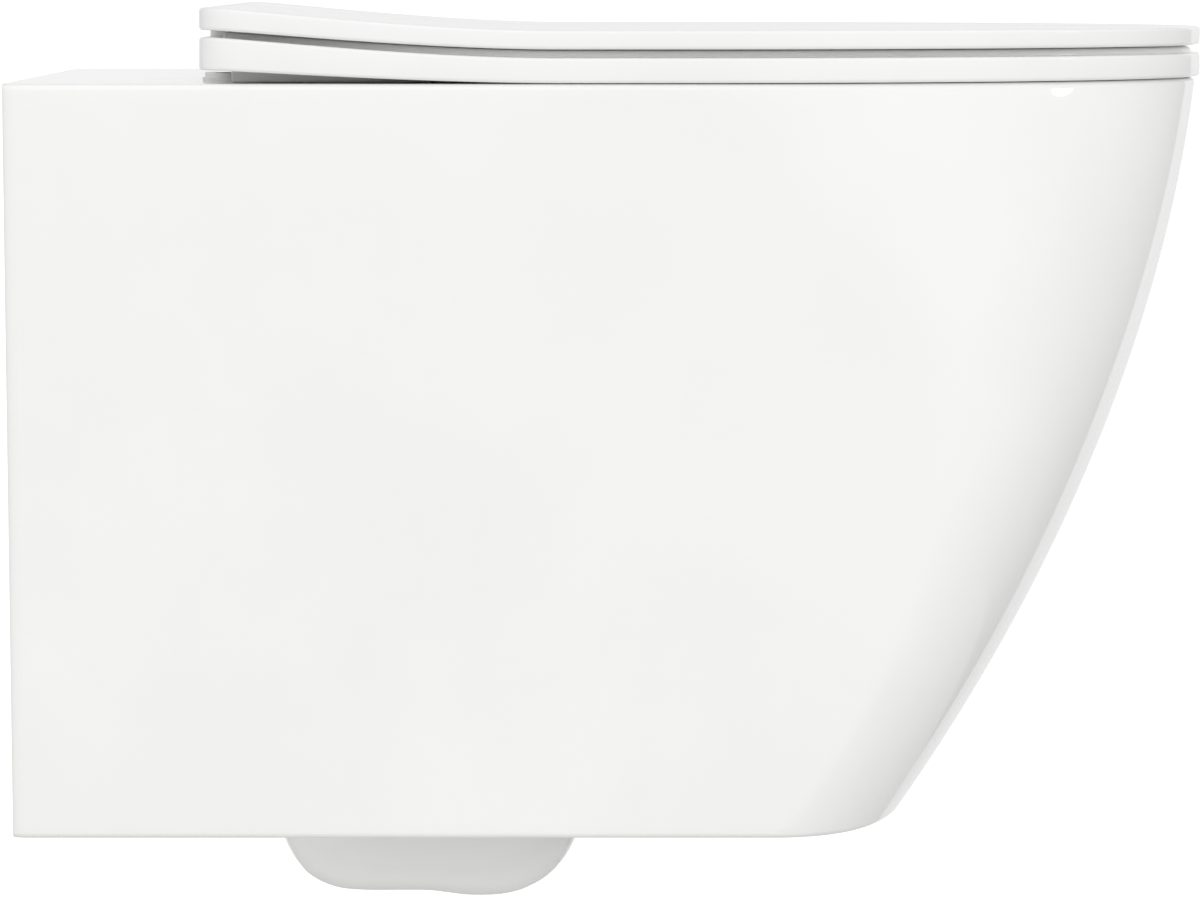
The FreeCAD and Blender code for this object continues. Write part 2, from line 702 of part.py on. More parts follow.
def hinge_pins():
    """A pin turns with the piece that it drives: the right one with the seat, the left the lid."""
    start = f"({DAMPER_END} + size.seat_gap)"
    shaft = rod("pin_shaft", "size.pin_radius", f"{NOTCH_OUT} + size.pin_grip - {start}",
                (start, AXIS_Y, AXIS_Z), OUT)
    tip = rod("pin_tip", "size.tip_radius", "size.tip_length",
              (f"{start} - size.tip_length + size.seat_gap", AXIS_Y, AXIS_Z), OUT)
    pin = joined("pin", [shaft, tip])
    node("seat_hinge_pin", pin)
    node("lid_hinge_pin", mirrored("pin_mirrored", pin))


def latch_clips():
    """A wire clip: two legs in the post's groove and a half turn behind it."""
    middle = f"({GROOVE_LOW} + size.groove_wide / 2)"
    swing = "(size.groove_radius + size.wire_radius + size.wire_gap)"
    turn_y = "(-size.post_back + size.clip_behind)"
    legs = []
    for side in (-1, 1):
        legs.append(rod(f"clip_leg_{len(legs)}", "size.wire_radius", "size.clip_leg",
                        (f"{POST_X} + {side} * {swing}", turn_y, middle), FRONT))
    bend = bind(DOC.addObject("Part::Torus", "clip_bend"), (POST_X, turn_y, middle),
                Radius1=swing, Radius2="size.wire_radius")
    bend.Angle3 = 180
    pair("latch_clip", joined("clip", [bend, *legs]))


def release_buttons():
    """A button in the front of each block, with a prong between the legs of the clip."""
    front = "(-size.housing_front - size.button_proud)"
    back = f"({front} + size.button_thick)"
    head = block("button_head",
                 (f"{POST_X} - size.button_half", front, f"{BASE_TOP} + size.button_low"),
                 (f"{POST_X} + size.button_half", back, f"{BASE_TOP} + size.button_high"))
    middle = f"({GROOVE_LOW} + size.groove_wide / 2)"
    prong = block("button_prong",
                  (f"{POST_X} - size.prong_half", f"{back} - size.past",
                   f"{middle} - size.prong_thick / 2"),
                  (f"{POST_X} + size.prong_half", f"{back} + size.prong_reach",
                   f"{middle} + size.prong_thick / 2"))
    pair("release_button", joined("button", [head, prong]))


# ---------------------------------------------------------------- seat and lid


def plan_prism(name, inset, back, radius):
    """A D outline standing on the rim. Without an inset it is the one that seat and lid share."""
    outline = plan_wire(
        size.pan_width / 2 - inset, -back, radius, size.nose_top,
        size.pan_depth + size.seat_overhang - inset, size.side_pull_top, size.tip_pull_top,
        size.rim_rise)
    return raised(name, shaped(f"{name}_outline", Part.Face(outline)), ABOVE)


def side_profile(name, low, high, low_rise, high_rise):
    """A slab seen from the side. Both faces rise behind the bend, each by its own amount."""
    front, back = -size.pan_depth - size.seat_overhang - size.past, -size.seat_back + size.past
    start, end = -size.bend_start, -size.bend_end
    turn_in, turn_out = start + size.bend_pull_front, end - size.bend_pull_rear
    x = -size.pan_width / 2 - size.past
    lows = [(x, start, low), (x, turn_in, low), (x, turn_out, low + low_rise),
            (x, end, low + low_rise)]
    highs = [(x, start, high), (x, turn_in, high), (x, turn_out, high + high_rise),
             (x, end, high + high_rise)]
    wire = Part.Wire([
        line((x, front, low), lows[0]), bezier(*lows), line(lows[-1], (x, back, lows[-1][2])),
        line((x, back, lows[-1][2]), (x, back, highs[-1][2])),
        line((x, back, highs[-1][2]), highs[-1]), bezier(*highs[::-1]),
        line(highs[0], (x, front, high)), line((x, front, high), (x, front, low)),
    ])
    slab = Part.Face(wire).extrude(Vector(size.pan_width + 2 * size.past, 0, 0))
    return shaped(name, slab)


def pads(name, radius, low, thick, places):
    """Separate round pads in one node. The same discs cut their pockets."""
    discs = []
    for x, y in places:
        for side in (-1, 1):
            at = (f"{side} * ({x})", f"-({y})", low)
            discs.append(rod(f"{name}_{len(discs)}", radius, thick, at, UP))
    group = DOC.addObject("Part::Compound", f"{name}_group")
    group.Links = discs
    node(name, group)
    return discs


def crown():
    """The ring's middle, raised to just below the lid, with its upper border rounded."""
    low = size.rim_rise + size.seat_lift + size.seat_thick / 2
    high = size.rim_rise + size.seat_lift + size.seat_thick + size.crown_rise
    prism = plan_prism("crown_prism", size.crown_inset, size.crown_back, size.crown_corner)
    slab = side_profile("crown_slab", low, high, size.seat_top_rise, size.lid_bend_rise)
    return eased("crown", overlap("crown_blank", [prism, slab]), size.crown_round, (1,))


def seat(prism):
    """The ring, its pads, the pin that lifts it and the bush for the other pin."""
    low = size.rim_rise + size.seat_lift
    slab = side_profile("seat_slab", low, low + size.seat_thick, size.seat_low_rise,
                        size.seat_top_rise)
    edge = eased("seat_eased", overlap("seat_blank", [prism, slab]), size.seat_edge)
    front = size.pan_depth + size.seat_overhang - size.ring_front
    opening = shaped("seat_opening_face", Part.Face(
        egg_wire(size.hole_half, front, size.hole_rear, size.rim_rise)))
    hole = raised("seat_opening", opening, ABOVE)
    notch = block("seat_notch", (NOTCH_IN, "-size.notch_front", DECK),
                  (NOTCH_OUT, "-size.seat_back + size.past", f"{DECK} + {ABOVE}"))
    start, grip = f"{NOTCH_OUT} - size.past", "size.pin_grip + size.past"
    pin_hole = rod("seat_pin_hole", "size.pin_radius", grip, (start, AXIS_Y, AXIS_Z), OUT)
    bush_hole = mirrored("seat_bush_hole", rod(
        "seat_bush_hole_form", BUSH_RADIUS, grip, (start, AXIS_Y, AXIS_Z), OUT))
    pockets = pads("seat_buffers", "size.pad_radius", DECK, "size.seat_lift + size.pad_pocket",
                   [(f"{HALF} - size.pad_side", "size.pad_back"),
                    ("size.pad_front_half", f"{TIP} - size.pad_tip")])
    node("seat_ring", cut("seat_form", joined("seat_solid", [edge, crown()]),
                          [hole, notch, mirrored("seat_notch_left", notch), pin_hole, bush_hole,
                           *pockets]))
    node("seat_bush", mirrored("seat_bush_form", bush("seat_bush", NOTCH_OUT, "size.pin_grip")))


def bush(name, start, length):
    """A sleeve on the hinge axis."""
    outer = rod(f"{name}_outer", BUSH_RADIUS, length, (start, AXIS_Y, AXIS_Z), OUT)
    inner = rod(f"{name}_inner", "size.pin_radius + size.running_fit",
                f"{length} + 2 * size.past", (f"{start} - size.past", AXIS_Y, AXIS_Z), OUT)
    return cut(f"{name}_sleeve", outer, [inner])


def lid(prism):
    """The lid with a lug at each hinge, its pads, its pin and the bush for the seat's pin."""
    low = size.rim_rise + size.seat_lift + size.seat_thick + size.lid_gap
    slab = side_profile("lid_slab", low, low + size.lid_thick, size.lid_bend_rise,
                        size.lid_top_rise)
    under = f"{SEAT_TOP} + size.lid_gap + size.lid_bend_rise + size.past"
    eye = rod("lug_eye", "size.lug_radius", "size.lug_wide", (LUG_IN, AXIS_Y, AXIS_Z), OUT)
    web = block("lug_web", (LUG_IN, f"{AXIS_Y} - size.lug_radius", AXIS_Z),
                (LUG_OUT, f"{AXIS_Y} + size.lug_radius / 2", under))
    lug = joined("lid_lug", [eye, web])
    panel = eased("lid_eased", overlap("lid_blank", [prism, slab]), size.lid_edge)
    body = joined("lid_solid", [panel, lug, mirrored("lid_lug_left", lug)])
    start, length = f"{LUG_IN} - size.past", "size.lug_wide + 2 * size.past"
    bush_hole = rod("lid_bush_hole", BUSH_RADIUS, length, (start, AXIS_Y, AXIS_Z), OUT)
    pin_hole = mirrored("lid_pin_hole", rod("lid_pin_hole_form", "size.pin_radius", length,
                                            (start, AXIS_Y, AXIS_Z), OUT))
    pockets = pads("lid_buffers", "size.lid_pad_radius", f"{SEAT_TOP} + size.crown_rise",
                   "size.lid_gap - size.crown_rise + size.lid_pad_pocket",
                   [(f"{HALF} - size.lid_pad_side", "size.pad_back"),
                    ("size.lid_pad_front_half", f"{TIP} - size.lid_pad_tip")])
    node("lid", cut("lid_form", body, [bush_hole, pin_hole, *pockets]))
    node("lid_bush", bush("lid_bush", LUG_IN, "size.lug_wide"))


# ---------------------------------------------------------------- the whole part


def check_document():
    """Every object must be free of errors, and every sub-part one or more valid solids."""
    for piece in DOC.Objects:
        if "Invalid" in piece.State or "Error" in piece.State:
            raise RuntimeError(f"{piece.Label}: {piece.State}")
    for name, piece in NODES.items():
        shape = piece.Shape
        if shape.isNull() or not shape.isValid() or not shape.Solids:
            raise RuntimeError(f"{name}: bad shape")


def write_parts():
    os.makedirs("parts", exist_ok=True)
    for name, piece in NODES.items():
        piece.Shape.exportStep(os.path.join("parts", f"{name}.step"))
        print(f"{name:24s} {len(piece.Shape.Solids)} solid, {piece.Shape.Volume / 1000:9.2f} cm3")


ceramic_pan()
flush_seal()
flush_distributor()
wall_fixings()
hinge_posts()
hinge_blocks()
dampers()
hinge_pins()
latch_clips()
release_buttons()
SEAT_PRISM = plan_prism("seat_prism", 0, size.seat_back, size.seat_corner)
seat(SEAT_PRISM)
lid(SEAT_PRISM)
DOC.recompute()
check_document()
write_parts()
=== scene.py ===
"""Wall hung toilet in the studio: glazed pan, gloss seat and lid, hinges and wall fixings.

Shapes are worked out in millimetres and put into the meshes in metres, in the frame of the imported
part: +Z up, the front faces -Y, the wall is the plane y = 0. A "drop" is measured down from the
top of the rim.
"""
import json
import math

import bmesh
import bpy
import numpy as np
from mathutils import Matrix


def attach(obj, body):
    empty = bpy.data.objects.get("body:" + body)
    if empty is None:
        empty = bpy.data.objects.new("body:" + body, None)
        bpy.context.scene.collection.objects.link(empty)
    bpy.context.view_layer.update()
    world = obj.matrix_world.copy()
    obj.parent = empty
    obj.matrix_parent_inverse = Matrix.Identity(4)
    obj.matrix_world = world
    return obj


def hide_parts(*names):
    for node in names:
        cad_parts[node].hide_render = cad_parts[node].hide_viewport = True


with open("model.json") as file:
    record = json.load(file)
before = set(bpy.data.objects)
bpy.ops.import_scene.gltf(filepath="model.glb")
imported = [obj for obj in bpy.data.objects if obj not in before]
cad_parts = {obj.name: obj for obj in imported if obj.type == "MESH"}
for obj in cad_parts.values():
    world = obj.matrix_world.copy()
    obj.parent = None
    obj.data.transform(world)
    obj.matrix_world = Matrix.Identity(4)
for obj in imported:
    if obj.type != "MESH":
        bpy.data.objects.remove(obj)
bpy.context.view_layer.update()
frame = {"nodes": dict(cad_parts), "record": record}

# ---------------------------------------------------------------- sizes of the object, mm

RIM = 85.0            # height of the rim over the fixing holes
HALF, DEPTH = 177.5, 520.0
SKIRT = 323.5         # rim to the lower edge of the skirt
SIDE_LEAN, TIP_RETREAT = 19.8, 132.0           # how far sides and tip move in over the skirt's drop
NOSE_TOP, NOSE_LOW = 235.0, 62.0               # length of the curved front, at the rim and below
RIM_EDGE, LOWER_EDGE = 3.0, 2.4
DECK_WALL, SKIRT_WALL = 14.0, 12.0

BOWL_DROP, BOWL_WALL, MOUTH_ROUND = 290.0, 11.0, 7.0
BOWL_HALF, BOWL_FRONT, BOWL_REAR = 137.0, 478.0, 152.0       # the bowl's egg at the rim
SUMP_HALF, SUMP_FRONT, SUMP_REAR = 44.0, 238.0, 165.0        # and at the sump
TRAP_HALF, TRAP_BORE_HALF, TRAP_WALL = 54.0, 41.0, 13.0
LEG_RADIUS, LEG_BORE = 49.0, 37.0
OUTLET_RADIUS, OUTLET_BORE = 51.0, 42.0
OUTLET_SETBACK = 2.0                           # from the wall to the end of the outlet
TRAP_FOOT, CREST_BACK = (0.0, -166.0, -238.0), 92.0

SEAT_BACK, SEAT_CORNER, SEAT_TIP = 82.0, 18.0, 522.0
SEAT_SIDE_PULL, SEAT_TIP_PULL = 0.55, 0.60     # Bezier handles of the nose, as shares
SEAT_EDGE, CROWN_ROUND, CROWN_INSET = 1.5, 2.7, 4.0
CROWN_BACK, CROWN_CORNER, CROWN_NARROWING = 92.0, 8.0, 0.05
SEAT_LOW, SEAT_TOP, CROWN_TOP = 85.3, 95.9, 99.0
SEAT_LOW_RISE, SEAT_TOP_RISE = 5.3, 8.6        # over the hinges, as all rises
LEDGE_RISE, CROWN_RISE = 8.3, 8.0
LID_LOW, LID_TOP = 99.4, 107.5
LID_RISE, LID_TOP_RISE = 8.0, 9.5
BEND_START, BEND_END = -235.0, -88.0           # where seat and lid rise, along Y
BEND_PULL_FRONT, BEND_PULL_REAR = 60.0, 11.0
HOLE_HALF, HOLE_FRONT, HOLE_REAR = 114.0, 460.0, 165.0
HOLE_LIP, HOLE_FOOT = 4.0, 2.0                 # rounding of the opening, above and below
NOTCH_X, NOTCH_Y, NOTCH_Z = (61.0, 101.0), (-121.0, -60.0), (80.0, 120.0)
RIB_X, RIB_Y, RIB_Z = (141.0, 148.0), (-232.0, -95.0), (85.12, 93.0)

AXIS_BACK, AXIS_HEIGHT = 86.0, 97.5
LUG_ROUND, LUG_NEAR, LUG_FAR = 6.5, 91.0, 99.0
LUG_FRONT, LUG_REAR, LUG_NECK, LUG_TOP = -92.5, -82.75, 103.0, 109.0
POST_X, POST_BACK = 77.5, 100.0
FIXING_X, INLET_Z, OUTLET_Z = 90.0, 35.0, -100.0

MIDDLE = np.array([0.0, -310.0])  # of the seat, seen from above
AT_WALL, OUTSIDE = -0.01, 1.0     # y at which joined bars and cutting bars start
EDGE_STEP, RIM_STEP = 0.6, 0.8    # from a rounded edge to the next ring on its flat face
THIN = 1                          # index of the thin glaze among the pan's two finishes
CREASE = 32                       # degrees between faces that meet in a sharp edge

# ---------------------------------------------------------------- outlines, seen from above


def bezier(poles, count):
    """Points of cubic Bezier curves: the four poles weighted by (1-t)^3, 3t(1-t)^2, 3t^2(1-t) and
    t^3. Poles come as (level, 4, 2); the end point is left out."""
    t = np.arange(count) / count
    weights = np.stack([(1 - t) ** 3, 3 * t * (1 - t) ** 2, 3 * t * t * (1 - t), t ** 3], 1)
    return np.einsum("tk,lkd->ltd", weights, poles)


def points(*pairs):
    """Pairs of x and y, each a number or one value per level, as (level, pair, 2)."""
    both = np.broadcast_arrays(*[np.atleast_1d(np.asarray(v, float)) for p in pairs for v in p])
    return np.stack(both, -1).reshape(len(both[0]), len(pairs), 2)


def straight(start, end, count):
    """Points from start to end at even steps; the end point is left out."""
    t = (np.arange(count) / count)[None, :, None]
    return start * (1 - t) + end * t


def mirrored(right):
    """The whole outline from its right half, which starts and ends on the centre line."""
    left = right[:, -2:0:-1] * np.array([-1.0, 1.0])
    return np.concatenate([right, left], 1)


def d_outline(half, rear, corner, nose, tip, side_pull, tip_pull):
    """A D: a straight rear and straight sides joined by quarter circles, then a nose of one Bezier
    curve on each side, which leaves the side along Y and meets its twin at the tip along X."""
    shoulder, centre = nose - tip, 0 * half
    angles = np.linspace(0, np.pi / 2, 8, endpoint=False)
    arc = (points((half - corner, rear - corner))
           + corner * np.stack([np.sin(angles), np.cos(angles)], -1)[None])
    curve = bezier(points((half, shoulder), (half, shoulder - side_pull * nose),
                          (tip_pull * half, -tip), (centre, -tip)), 72)
    return mirrored(np.concatenate([
        straight(points((centre, rear)), points((half - corner, rear)), 12), arc,
        straight(points((half, rear - corner)), points((half, shoulder)), 40), curve,
        points((centre, -tip))], 1))


def egg(half, front, rear, count=40):
    """A closed egg of four Bezier quarters, widest at 0.42 of its length from the rear. The rear
    quarters have handles of 0.68, so they are fuller than an ellipse's 0.5523."""
    widest, full, round_pull, centre = 0.42, 0.68, 0.5523, 0 * half
    wide = rear + (front - rear) * widest
    behind = bezier(points((centre, -rear), (half * full, -rear),
                           (half, -wide + (wide - rear) * full), (half, -wide)), count)
    ahead = bezier(points((half, -wide), (half, -wide - (front - wide) * round_pull),
                          (half * round_pull, -front), (centre, -front)), count)
    return mirrored(np.concatenate([behind, ahead, points((centre, -front))], 1))


def moved_in(outline, inset):
    """Each point moved by the inset along the inward normal, which is square to the line between
    its two neighbours. The outline runs clockwise, seen from above."""
    along = np.roll(outline, -1, 1) - np.roll(outline, 1, 1)
    along /= np.linalg.norm(along, axis=-1, keepdims=True)
    outward = np.stack([-along[..., 1], along[..., 0]], -1)
    return outline - outward * np.reshape(inset, (-1, 1, 1))


def skirt_outline(drop, inset=0.0, rear=3.2, corner=9.2):
    """The pan's D at a share s of the skirt's drop: the sides lean in with s, the tip moves back
    with 0.29 s + 0.71 s^2, and the nose gets shorter with (1-s)^2.5 and blunter with s. Its rear
    lies behind the wall plane, where the pan's block is cut flat."""
    share = np.atleast_1d(np.asarray(drop, float)) / SKIRT
    nose = NOSE_LOW + (NOSE_TOP - NOSE_LOW) * np.clip(1 - share, 0, None) ** 2.5
    half, tip = HALF - SIDE_LEAN * share, DEPTH - TIP_RETREAT * (0.29 * share + 0.71 * share ** 2)
    return d_outline(half - inset, rear, corner, nose, tip - inset,
                     SEAT_SIDE_PULL + 0.30 * share, SEAT_TIP_PULL - 0.18 * share)


def bowl_outline(drop, grow=0.0):
    """The bowl's egg at a share of its drop: its sides turn in with the 2.2nd power of the share,
    its front with the 1.8th, its rear in a straight line."""
    share = np.atleast_1d(np.asarray(drop, float)) / BOWL_DROP
    return egg(SUMP_HALF + (BOWL_HALF - SUMP_HALF) * (1 - share ** 2.2) + grow,
               SUMP_FRONT + (BOWL_FRONT - SUMP_FRONT) * (1 - share ** 1.8) + grow,
               BOWL_REAR + (SUMP_REAR - BOWL_REAR) * share - grow)


# ---------------------------------------------------------------- meshes from rings of points


def rings(outlines, heights):
    """Outlines (level, point, 2) lifted to their heights, one per level or one per point."""
    heights = np.broadcast_to(np.reshape(heights, (len(outlines), -1)), outlines.shape[:2])
    return np.concatenate([outlines, heights[..., None]], -1)


def carried(profile, across):
    """A side profile (y, z) as one ring for each place on the X axis."""
    x = np.broadcast_to(across[:, None, None], (*profile.shape[:2], 1))
    return np.concatenate([x, profile], -1)


def shell(name, loops, capped=True, finish=0):
    """A closed shell over rings of points: neighbouring rings are joined by quads, and the first
    and last are filled, or joined to each other for a ring-shaped piece."""
    levels, count = loops.shape[:2]
    index = np.arange(levels * count).reshape(levels, count)
    upper = index[1:] if capped else np.roll(index, -1, 0)
    lower = index[:len(upper)]
    quads = np.stack([lower, np.roll(lower, -1, 1), np.roll(upper, -1, 1), upper], -1)
    caps = [index[0, ::-1].tolist(), index[-1].tolist()] if capped else []
    mesh = bpy.data.meshes.new(name)
    mesh.from_pydata(loops.reshape(-1, 3) / 1000, [], quads.reshape(-1, 4).tolist() + caps)
    work = bmesh.new()
    work.from_mesh(mesh)
    bmesh.ops.recalc_face_normals(work, faces=work.faces)
    work.to_mesh(mesh)
    work.free()
    mesh.polygons.foreach_set("material_index", np.full(len(mesh.polygons), finish, np.int32))
    piece = bpy.data.objects.new(name, mesh)
    bpy.context.scene.collection.objects.link(piece)
    return piece


def quarter(steps):
    """A quarter circle in steps: a share that falls from 1 to 0 as 1 - sin a, and one that grows
    from 0 to 1 as 1 - cos a."""
    bend = np.linspace(0, np.pi / 2, steps)
    return 1 - np.sin(bend), 1 - np.cos(bend)


def round_bar(name, radius, length, at, axis, edge=0.0, finish=0):
    """A round bar from a point along an axis: circles whose radius shrinks by edge(1-cos a) while
    they move by edge(1-sin a) at both ends, so that its rims are rounded."""
    turn = np.linspace(0, 2 * np.pi, 96, endpoint=False)
    falling, growing = quarter(5) if edge else (np.zeros(1), np.zeros(1))
    reach, step = radius - edge * falling, edge * growing
    reach, step = np.r_[reach, reach[::-1]], np.r_[step, length - step[::-1]]
    along = np.asarray(axis, float) / np.linalg.norm(axis)
    across = np.cross(along, (1, 0, 0) if abs(along[0]) < 0.9 else (0, 0, 1))
    across /= np.linalg.norm(across)
    over = np.cross(along, across)
    circle = np.cos(turn)[:, None] * across + np.sin(turn)[:, None] * over
    loops = np.asarray(at, float) + step[:, None, None] * along + reach[:, None, None] * circle
    return shell(name, loops, finish=finish)


def rounded_box(name, low, high, edge, finish=0):
    """A box with rounded edges: four quarter circles round fixed centres, whose radius grows as
    edge sin(a) while the ring rises by edge (1 - cos(a)), and shrinks again below the top. The
    radius never falls under 0.02 of the edge, so that no face is empty."""
    low, high = np.asarray(low, float), np.asarray(high, float)
    turn = np.linspace(0, np.pi / 2, 7)
    quarter = np.stack([np.sin(turn), np.cos(turn)], -1)
    arcs = np.stack([quarter, quarter[::-1], quarter, quarter[::-1]])
    signs = np.array([(1, 1), (1, -1), (-1, -1), (-1, 1)])[:, None]
    centres = (low + high)[:2] / 2 + signs * ((high - low)[:2] / 2 - edge)
    bend = np.linspace(0, np.pi / 2, 5)
    radius, step = edge * np.maximum(np.sin(bend), 0.02), edge * (1 - np.cos(bend))
    radius = np.r_[radius, radius[::-1]][:, None, None, None]
    outlines = (centres + radius * arcs * signs).reshape(len(radius), -1, 2)
    return shell(name, rings(outlines, np.r_[low[2] + step, high[2] - step[::-1]]), finish=finish)


def side_box(name, side, x, y, z, edge):
    """A rounded box on one side of the centre line: its reach off the line, along Y and up."""
    near, far = sorted((side * x[0], side * x[1]))
    return rounded_box(name, (near, y[0], z[0]), (far, y[1], z[1]), edge)


def combined(blank, joined=(), removed=()):
    """The blank with some closed shells joined to it and then others cut from it."""
    for operation, tools in (("UNION", joined), ("DIFFERENCE", removed)):
        for tool in tools:
            step = blank.modifiers.new(tool.name, "BOOLEAN")
            step.operation, step.solver, step.object = operation, "MANIFOLD", tool
    graph = bpy.context.evaluated_depsgraph_get()
    mesh = bpy.data.meshes.new_from_object(blank.evaluated_get(graph))
    blank.modifiers.clear()
    blank.data = mesh
    for tool in (*joined, *removed):
        bpy.data.objects.remove(tool)
    return blank


def finished(piece, body, replaced, materials):
    """Smooth faces with sharp edges where they meet at more than CREASE degrees, the piece's
    materials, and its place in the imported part."""
    mesh = piece.data
    mesh.materials.clear()
    for material in materials:
        mesh.materials.append(material)
    mesh.polygons.foreach_set("use_smooth", np.ones(len(mesh.polygons), bool))
    mesh.set_sharp_from_angle(angle=math.radians(CREASE))
    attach(piece, body)
    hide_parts(*replaced)


# ---------------------------------------------------------------- ceramic pan


def skirt_block():
    """The outside of the pan as one block: at each drop the D outline, moved in along a quarter
    circle at the rim and again at the lower edge, and ground flat at the wall (y at most 0)."""
    levels, past_edge = 46, 7
    falling, growing = quarter(9)
    drops = np.r_[0, 0, RIM_EDGE * growing, np.linspace(past_edge, SKIRT - past_edge, levels),
                  SKIRT - LOWER_EDGE * falling, SKIRT, SKIRT]
    insets = np.r_[9, RIM_EDGE + RIM_STEP, RIM_EDGE * falling, np.zeros(levels),
                   LOWER_EDGE * growing, LOWER_EDGE + RIM_STEP, 7]
    outlines = moved_in(skirt_outline(drops), insets)
    outlines[..., 1] = np.minimum(outlines[..., 1], 0)
    return shell("skirt_block", rings(outlines, RIM - drops))


def skirt_room():
    """The room inside the skirt: the D outline moved in by the wall, drawn in under the deck and
    flared at the lower edge along a quarter circle."""
    levels, cove, lip = 16, 6, 3
    falling, growing = quarter(5)
    drops = np.r_[DECK_WALL, np.linspace(DECK_WALL + cove, SKIRT - 8, levels),
                  SKIRT - lip * falling, SKIRT + 3]
    outlines = skirt_outline(drops, SKIRT_WALL, rear=20.0, corner=1.0)
    insets = np.r_[cove, np.zeros(levels), -lip * growing, -lip]
    return shell("skirt_room", rings(moved_in(outlines, insets), RIM - drops), finish=THIN)


def bowl_form():
    """The bowl seen from outside: its egg, grown by the wall."""
    drops = np.linspace(DECK_WALL / 2, BOWL_DROP, 30)
    return shell("bowl_form", rings(bowl_outline(drops, BOWL_WALL), RIM - drops), finish=THIN)


def bowl_room():
    """The bowl's cavity: a lip that follows a quarter circle from the deck into the wall, then the
    egg at each drop down to the sump."""
    levels, above_rim, past_lip, hair = 50, -3, 9, 0.03
    falling, growing = quarter(12)
    drops = np.r_[above_rim, MOUTH_ROUND * growing - hair,
                  np.linspace(past_lip, BOWL_DROP, levels)]
    grow = np.r_[MOUTH_ROUND + EDGE_STEP, MOUTH_ROUND * falling, np.zeros(levels)]
    outlines = np.concatenate([bowl_outline(max(d, 0), g) for d, g in zip(drops, grow)])
    return shell("bowl_room", rings(outlines, RIM - drops))


TRAP_PROFILE = np.array([  # side view of the trap's lower bend, y and z, from the rear round below
    (-107, -226), (-107, -246), (-108.6, -257), (-112, -264.6), (-115.8, -270.2),
    (-119.8, -274.4), (-126.5, -278.2), (-135, -280.7), (-147, -281.5), (-161, -281.5),
    (-174.6, -281.6), (-183.7, -282.6), (-192.8, -283.7), (-203, -283.8), (-211, -283),
    (-218, -281.2), (-224.8, -278), (-229.4, -274.9), (-234, -270.4), (-238.5, -264.1),
    (-242, -256), (-243.5, -246), (-242, -226), (-235, -208), (-218, -196), (-184, -191),
    (-146, -192), (-117, -202)], float)


def trap_bend(name, shrink, half):
    """The trap's lower bend: the side profile scaled towards its middle by |cos p|^0.45 while x
    goes to both sides by |sin p|^0.45 of the half width. The closed profile is smoothed by a
    periodic cubic through its points, and moved in by `shrink` towards its middle."""
    steps, squareness = 5, 0.45
    back, here, ahead, beyond = (np.roll(TRAP_PROFILE, s, 0)[:, None] for s in (1, 0, -1, -2))
    t = (np.arange(steps) / steps)[None, :, None]
    curve = 0.5 * (2 * here + (ahead - back) * t
                   + (2 * back - 5 * here + 4 * ahead - beyond) * t ** 2
                   + (3 * here - back - 3 * ahead + beyond) * t ** 3)
    curve = curve.reshape(-1, 2)
    middle = curve.mean(0)
    reach = np.linalg.norm(curve - middle, axis=1, keepdims=True)
    curve = middle + (curve - middle) * (1 - shrink / reach)
    angle = np.linspace(-np.pi / 2, np.pi / 2, 41)[1:-1]
    across = half * np.sign(angle) * np.abs(np.sin(angle)) ** squareness
    scale = np.cos(angle) ** squareness
    side = middle + (curve - middle) * scale[:, None, None]
    return shell(name, carried(side, across))


def from_wall(name, x, z, radius, length, start=AT_WALL, edge=0, finish=0):
    """A round bar square to the wall, from its start on the Y axis towards the front."""
    return round_bar(name, radius, length, (x, start, z), (0, -1, 0), edge, finish)


def trap_run(name, leg, outlet, outlet_end, edge=0, finish=0):
    """The rising leg and the level run to the wall, as two round bars. The leg's rounded end goes
    0.7 of its radius past the crest, and the level run 0.55 of its own past it."""
    foot, crest = np.array(TRAP_FOOT), np.array([0, -CREST_BACK, OUTLET_Z])
    rise = crest - foot
    past_leg, past_level = leg * 0.7, outlet * 0.55
    return [round_bar(f"{name}_leg", leg, np.linalg.norm(rise) + past_leg, foot, rise,
                      edge=past_leg, finish=finish),
            from_wall(f"{name}_level", 0, OUTLET_Z, outlet, CREST_BACK + outlet_end + past_level,
                      outlet_end, edge, finish)]


